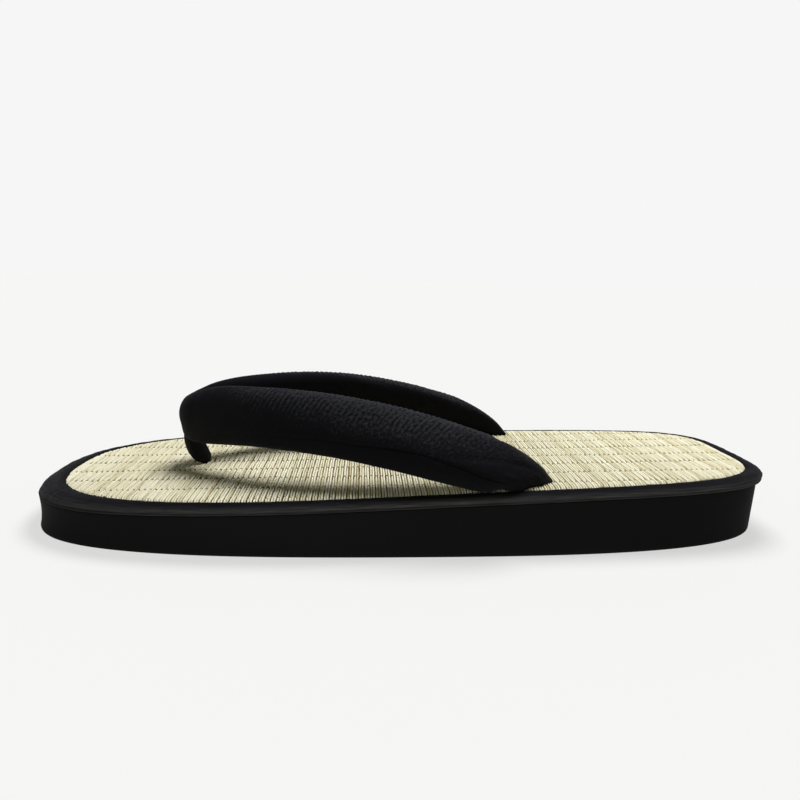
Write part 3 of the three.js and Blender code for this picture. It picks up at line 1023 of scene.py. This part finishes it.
# mat: rush strands lie across it, held by rows of thread that run to the toe
mat = {
    "strandPitch": 0.95 * mm,
    "strandHalf": (0.36 * mm, 0.63 * mm),  # half its height and half its width
    "strandFull": (0.9, 1.05),  # the smallest and the largest, against that
    "strandSides": 8,
    "strandPoints": 112,
    "paired": 0.05 * mm,  # how far each strand is moved to the other of its pair
    "looseScale": (3.7, 90.0),  # how quickly a pair wanders, from pair to pair and along it
    "looseRise": 0.22 * mm,
    "looseShift": 0.4 * mm,
    "rows": 9,
    "rowPitch": 10.75 * mm,
    "rowShift": (-0.4 * mm, -2.2 * mm),  # of the middle row at mid-length, and from there to the toe
    "rowReach": 5.2,  # rows from the middle to where a strand starts
    "rowCrowd": 0.75,  # how closely a strand's points stand at the rows
    "sway": 0.13,
    "swayScale": (30.0, 0.4),  # along a row, and from row to row
    "dip": 0.84 * mm,
    "dipSpan": 1.15 * mm,
    "dipRange": (0.25, 1.35),  # the least and the greatest dip, against that
    "dipOuter": 0.026,  # how much less the outer rows dip
    "dipClear": (0.6 * mm, 1.5 * mm),  # no dips so near to the binding, and over what span they start
    "rise": 0.05 * mm,
    "sink": 0.40 * mm,  # the strands' middle, below the mat's top
    "edgeDrop": 0.42 * mm,
    "edgeSpan": 1.5 * mm,
    "edgeMost": 1.3,  # limit of the drop under the binding
    "under": 0.48 * mm,  # how far the strands run under the binding
    "drawn": 0.7,  # share of a strand beyond that edge that is drawn back
    "drawnSlope": 0.3,  # keeps strands at the toe and the heel from being drawn back too far
    "threadRadius": 0.39 * mm,
    "threadSides": 5,
    "threadHigh": 0.33 * mm,  # the thread's middle below the mat's top, over a strand and under one
    "threadLow": 1.25 * mm,
    "threadUneven": (-0.06 * mm, 0.24 * mm),
    "threadOuter": 0.005 * mm,  # how much lower the outer rows lie
    "threadClear": 1.2 * mm,  # how far inside the binding's edge the threads end
    "threadSteps": 4,
    "crossings": 16,  # numbers kept for each strand's crossings
    "seed": 17,
    "fullSeed": 5.0,  # added to it for the strands' thickness
    "openings": [  # the slits for the strap's ends, alike on both sides, and the toe post's hole
        {"x": -40.5 * mm, "y": 34.9 * mm, "half": 5.0 * mm, "wide": 0.6 * mm, "turn": -0.31},
        {"x": 77.3 * mm, "y": 0.0, "half": 1.0 * mm, "wide": 1.3 * mm, "turn": 0.0},
    ],
    "boardTop": 1.75 * mm,
    "boardBase": 3.7 * mm,
    "boardInset": 0.4 * mm,
}


def alongShare(x):
    return (x - shoe["midLengthX"]) / matOutline["halfLength"]


# half the mat's width, without the rounding at the ends
def rowWidth(x):
    u = alongShare(x)
    return (u * matOutline["widerToEnds"] + matOutline["widerToToe"]) * u + matOutline["halfWidth"]


# where a row of thread lies across the mat at a place along it
def rowAt(x, row):
    scaleAlong, scaleRows = mat["swayScale"]
    sway = (noise(vector(x * scaleAlong, row * scaleRows)) - 0.5) * (2.0 * mat["sway"])
    middle, change = mat["rowShift"]
    return (row + sway) * mat["rowPitch"] + (alongShare(x) * change + middle)


# how far inside the binding's edge a place on the mat is, and how much of that lies across the mat
def fromBinding(x, y):
    least, most = 0.0001, 1.2  # limits for the powers
    toToe = calc("GREATER_THAN", alongShare(x), 0.0)
    width = rowWidth(x)
    u = clamped(calc("ABSOLUTE", alongShare(x)), least, most)
    v = calc("MAXIMUM", calc("ABSOLUTE", y / width), least)
    power = toToe * (matOutline["toePower"] - matOutline["heelPower"]) + matOutline["heelPower"]
    size = (u**power + v**power) ** (1.0 / power)
    slopeX = (u / size) ** (power - 1.0) / matOutline["halfLength"]
    slopeY = (v / size) ** (power - 1.0) / width
    slope = calc("SQRT", slopeX * slopeX + slopeY * slopeY)
    ends = clamped((u - shoe["endStart"]) / (1.0 - shoe["endStart"])) ** 2.0
    toe, heel = binding["cover"]["toe"] * mm, binding["cover"]["heel"] * mm
    cover = ends * (toToe * (toe - heel) + heel)
    return (1.0 - size) / slope - cover, slopeY / slope


# room for the strap's ends and the toe post
def inOpening(x, y):
    found = 0.0
    for opening in mat["openings"]:
        c, s = math.cos(opening["turn"]), math.sin(opening["turn"])
        dx = x - opening["x"]
        dy = calc("ABSOLUTE", y) - opening["y"]
        a = (dx * c + dy * s) / opening["half"]
        b = (dy * c - dx * s) / opening["wide"]
        found = calc("MAXIMUM", calc("LESS_THAN", a * a + b * b, 1.0), found)
    return found


def randomly(low, high, number, seed):
    values = {2: low, 3: high, "ID": number, "Seed": seed}
    return nodeFrom("FunctionNodeRandomValue", values, 1, data_type="FLOAT")


# one straight line of points on each place of a row, as plain points, and where they are
def linesOn(tree, row, line, label):
    places = addNode(tree, "GeometryNodeMeshLine", row)
    single = addNode(tree, "GeometryNodeMeshLine", line, mode="END_POINTS")
    numbered = stored(places, label, addNode(tree, "GeometryNodeInputIndex"))
    laid = nodeFrom("GeometryNodeInstanceOnPoints", {"Points": numbered, "Instance": single})
    x, y, _ = split(addNode(tree, "GeometryNodeInputPosition"))
    return nodeFrom("GeometryNodeRealizeInstances", {"Geometry": laid}), x, y


def curvesWithout(shape, gone):
    kept = nodeFrom("GeometryNodeDeleteGeometry", {"Geometry": shape, "Selection": gone}, domain="POINT")
    return nodeFrom("GeometryNodeMeshToCurve", {"Mesh": kept})


def ringOf(tree, sides, radius):
    return addNode(tree, "GeometryNodeCurvePrimitiveCircle", {"Resolution": sides, "Radius": radius})


def tubes(curves, profile, fullness):
    sized = nodeFrom("GeometryNodeSetCurveRadius", {"Curve": curves, "Radius": fullness})
    values = {"Curve": sized, "Profile Curve": profile, "Scale": fullness, "Fill Caps": True}
    return nodeFrom("GeometryNodeCurveToMesh", values)


def weaveTree():
    sizes = {
        "Strand Pitch": mat["strandPitch"],
        "Dip": mat["dip"],
        "Dip Span": mat["dipSpan"],
        "Rise": mat["rise"],
        "Sink": mat["sink"],
        "Edge Drop": mat["edgeDrop"],
        "Edge Span": mat["edgeSpan"],
        "Start X": 0.0,
    }
    counts = {"Strands": 1, "First": 0, "Points": mat["strandPoints"], "Seed": mat["seed"]}
    tree, ids, size = treeWith("rushWeave", sizes, counts)
    start, step = vector(size["Start X"]), vector(size["Strand Pitch"])
    places = {"Count": size["Strands"], "Start Location": start, "Offset": step}
    line = {"Count": size["Points"], "Start Location": (0.0, -1.0, 0.0), "Offset": (0.0, 1.0, 0.0)}
    lines, x, y = linesOn(tree, places, line, "strandIndex")

    # the points stand closest where a thread crosses the strand
    even = y * mat["rowReach"]
    row = even - calc("SINE", even * fullTurn) * (mat["rowCrowd"] / fullTurn)
    laid = placed(stored(lines, "rowPlace", row), {"Position": vector(x, rowAt(x, row))})

    # heights: down under a thread on every other strand, pressed down at the binding
    number = named(tree, "strandIndex") + size["First"]
    row = named(tree, "rowPlace")
    nearest = calc("ROUND", row)
    under = calc("FLOORED_MODULO", number + nearest, 2.0)
    amount = randomly(*mat["dipRange"], number * mat["crossings"] + nearest, size["Seed"])
    amount = amount * (1.0 - nearest * nearest * mat["dipOuter"])
    down = under * amount * size["Dip"] - (1.0 - under) * size["Rise"]
    inward, crosswise = fromBinding(x, y)
    clearFrom, clearSpan = mat["dipClear"]
    near = bell((row - nearest) * mat["rowPitch"] / size["Dip Span"])
    down = near * down * clamped((inward - clearFrom) / clearSpan)
    pressed = clamped(1.0 - inward / size["Edge Span"], 0.0, mat["edgeMost"]) ** 2.0
    down = pressed * size["Edge Drop"] + down

    # the strands lie in loose pairs, and their ends are drawn back under the binding
    pair = calc("FLOOR", number * 0.5)
    scalePairs, scaleAcross = mat["looseScale"]
    loose = noise(vector(pair * scalePairs, y * scaleAcross), 1.0, 1.0) - 0.5
    toPair = (1.0 - calc("FLOORED_MODULO", number, 2.0) * 2.0) * mat["paired"]
    back = calc("MINIMUM", inward, 0.0) * mat["drawn"] / calc("MAXIMUM", crosswise, mat["drawnSlope"])
    shoved = loose * mat["looseShift"] + (x + toPair)
    ended = calc("SIGN", y) * back + y
    z = loose * mat["looseRise"] + (matTopAt(x) - (size["Sink"] + down))
    woven = placed(laid, {"Position": vector(shoved, ended, z)})
    gone = calc("MAXIMUM", calc("LESS_THAN", inward, -mat["under"]), inOpening(x, y))
    toned = stored(curvesWithout(woven, gone), "strandTone", randomly(0.0, 1.0, number, size["Seed"]))
    fullness = randomly(*mat["strandFull"], number, size["Seed"] + mat["fullSeed"])
    ring = ringOf(tree, mat["strandSides"], 1.0)
    flat = nodeFrom("GeometryNodeTransform", {"Geometry": ring, "Scale": (*mat["strandHalf"], 1.0)})
    closeTree(tree, tubes(toned, flat, fullness), size["Finish"])
    return tree, ids


# threads over one strand and under the next
def threadTree():
    sizes = {
        "Strand Pitch": mat["strandPitch"],
        "Thread Radius": mat["threadRadius"],
        "High": mat["threadHigh"],
        "Low": mat["threadLow"],
        "Start X": 0.0,
        "End X": 1.0,
    }
    counts = {"Rows": mat["rows"], "Points": 2, "Seed": mat["seed"]}
    tree, ids, size = treeWith("warpThreads", sizes, counts)
    start, end = vector(size["Start X"]), vector(size["End X"])
    places = {"Count": size["Rows"], "Offset": (0.0, 0.0, 0.0)}
    line = {"Count": size["Points"], "Start Location": start, "Offset": end}
    lines, x, y = linesOn(tree, places, line, "rowIndex")
    row = named(tree, "rowIndex") - (size["Rows"] - 1.0) * 0.5
    strand = (x - size["Start X"]) / size["Strand Pitch"]
    crossing = calc("ROUND", strand) * mat["crossings"] + row
    uneven = row * row * mat["threadOuter"] + randomly(*mat["threadUneven"], crossing, size["Seed"])
    share = calc("COSINE", (strand + row) * math.pi) * 0.5 + 0.5
    below = share * (size["Low"] - size["High"]) + (size["High"] + uneven)
    laid = placed(lines, {"Position": vector(x, rowAt(x, row), matTopAt(x) - below)})
    outside = calc("LESS_THAN", fromBinding(x, y)[0], mat["threadClear"])
    curves = curvesWithout(laid, calc("MAXIMUM", outside, inOpening(x, y)))
    ring = ringOf(tree, mat["threadSides"], size["Thread Radius"])
    closeTree(tree, tubes(curves, ring, 1.0), size["Finish"])
    return tree, ids


def layPiece(name, tree, ids, values):
    mesh = treeMesh(name, bpy.data.meshes.new(name + "_start"), tree, ids, values)
    addPiece(mesh, "rush_mat")
    print(name, len(mesh.polygons), "faces")


def makeWeave():
    pitch = mat["strandPitch"]
    count = int(2.0 * (matOutline["halfLength"] + mat["under"]) / pitch)
    first = shoe["midLengthX"] - 0.5 * (count - 1) * pitch
    middle = count // 2
    weave = weaveTree()
    for end, skip, amount in (("heel", 0, middle), ("toe", middle, count - middle)):
        values = {"Start X": first + skip * pitch, "Strands": amount, "First": skip, "Finish": rush}
        layPiece("rush_strands_" + end, *weave, values)
    values = {
        "Start X": first,
        "End X": first + (count - 1) * pitch,
        "Points": (count - 1) * mat["threadSteps"] + 1,
        "Finish": warpThread,
    }
    layPiece("warp_threads", *threadTree(), values)


def makeBoard():
    base, top = mat["boardBase"], mat["boardTop"]
    inside = movedOut(matEdge, -mat["boardInset"])
    rings = []
    for depth, share in ((base, 0.5), (base, 1.0), (top, 1.0), (top, 0.5)):
        flat = inside * share
        rings.append(np.column_stack([flat, matTopAt(flat[:, 0]) - depth]))
    return skinMesh("rush_board", np.array(rings), rushBoard)


makeWeave()
addPiece(makeBoard(), "rush_mat")
print("mat made")

# camera at the photo's angle
shot = {
    "lens": 28.37,
    "azimuth": 3.372,
    "elevation": 11.279,
    "roll": 1.42,
    "distance": 244.46 * mm,
    "target": (2.236 * mm, 0.0, 43.447 * mm),
    "sensor": 36.0,
    "clipStart": 10.0 * mm,
}


def makeCamera():
    turn, lift, roll = (math.radians(shot[key]) for key in ("azimuth", "elevation", "roll"))
    back = Vector((math.sin(turn) * math.cos(lift), math.cos(turn) * math.cos(lift), math.sin(lift)))
    right = (-back).cross(Vector((0.0, 0.0, 1.0))).normalized()
    up = right.cross(-back)
    tilted = right * math.cos(roll) + up * math.sin(roll)
    upright = up * math.cos(roll) - right * math.sin(roll)
    camera = bpy.data.objects.new("camera", bpy.data.cameras.new("camera"))
    camera.data.lens = shot["lens"]
    camera.data.sensor_width = shot["sensor"]
    camera.data.clip_start = shot["clipStart"]
    place = Vector(shot["target"]) + back * shot["distance"]
    camera.matrix_world = Matrix.Translation(place) @ Matrix((tilted, upright, back)).transposed().to_4x4()
    scene.collection.objects.link(camera)
    scene.camera = camera


# pale floor that glows a little, a bright surround at eye height and one big soft lamp over the heel
studio = {
    "floorHalf": 12.0,
    "floorDepth": 0.1 * mm,  # how far under the sole the floor lies
    "floorRoughness": 0.95,
    "floorColour": 0.28,
    "white": 0.922,  # how bright the floor and the surround look
    "surroundTo": 0.37,  # height on the sky, as a sine, up to which the surround is bright
    "surroundFade": 0.03,
    "overhead": 0.01,
    "keyPlace": (-87.0 * mm, -160.0 * mm, 535.0 * mm),
    "keyRadius": 157.0 * mm,
    "keyPower": 3.6,
    "keyColour": (1.0, 1.0, 1.24),
}


# what the lamp adds to the floor at a place, so that the floor can glow by the rest
def lampOnFloor(coords):
    lampX, lampY, height = studio["keyPlace"]
    radius = studio["keyRadius"]
    bright = studio["keyPower"] / (math.pi * radius) ** 2
    x, y, _ = split(coords)
    dx, dy = x - lampX, y - lampY
    far = dx * dx + dy * dy
    base = far + (height**2 + radius**2)
    root = calc("SQRT", base * base - far * (4.0 * radius**2))
    share = (far + (height**2 - radius**2)) / root
    return (1.0 - share) * (0.5 * bright)


def makeFloor():
    half = studio["floorHalf"]
    corners = [(-half, -half), (half, -half), (half, half), (-half, half)]
    mesh = bpy.data.meshes.new("floor")
    mesh.from_pydata([(x, y, -studio["floorDepth"]) for x, y in corners], [], [(0, 1, 2, 3)])
    colour, white, dim = studio["floorColour"], studio["white"], studio["overhead"]
    constants = {
        "Roughness": studio["floorRoughness"],
        "Specular IOR Level": 0.0,
        "Base Color": (*[colour / part for part in studio["keyColour"]], 1.0),
        "Emission Color": (1.0, 1.0, 1.0, 1.0),
    }
    paper, shader, coords = newMaterial("paleFloor", constants)
    share = (studio["surroundTo"] + 0.5 * studio["surroundFade"]) ** 2
    fromSky = white * share + dim * (1.0 - share)
    glow = lampOnFloor(coords) * -colour + (white - colour * fromSky)
    setInputs(shader, {"Emission Strength": glow})
    mesh.materials.append(paper)
    floor = bpy.data.objects.new("floor", mesh)
    scene.collection.objects.link(floor)


def makeSurround():
    world = bpy.data.worlds.new("studio")
    world.use_nodes = True
    height = split(addNode(world.node_tree, "ShaderNodeTexCoord", None, "Generated"))[2]
    edge, fadeSpan = studio["surroundTo"], studio["surroundFade"]
    sky = ramp(height, [(edge, [studio["white"]] * 3), (edge + fadeSpan, [studio["overhead"]] * 3)])
    setInputs(world.node_tree.nodes["Background"], {"Color": sky})
    scene.world = world
    scene.view_settings.view_transform = "Standard"


def makeLamp():
    lamp = bpy.data.lights.new("keyLamp", "AREA")
    lamp.shape = "DISK"
    lamp.size = 2.0 * studio["keyRadius"]
    lamp.energy = studio["keyPower"]
    lamp.color = studio["keyColour"]
    key = bpy.data.objects.new("keyLamp", lamp)
    key.location = studio["keyPlace"]
    key.visible_camera = False
    scene.collection.objects.link(key)


makeCamera()
makeFloor()
makeSurround()
makeLamp()
print("camera and light set")
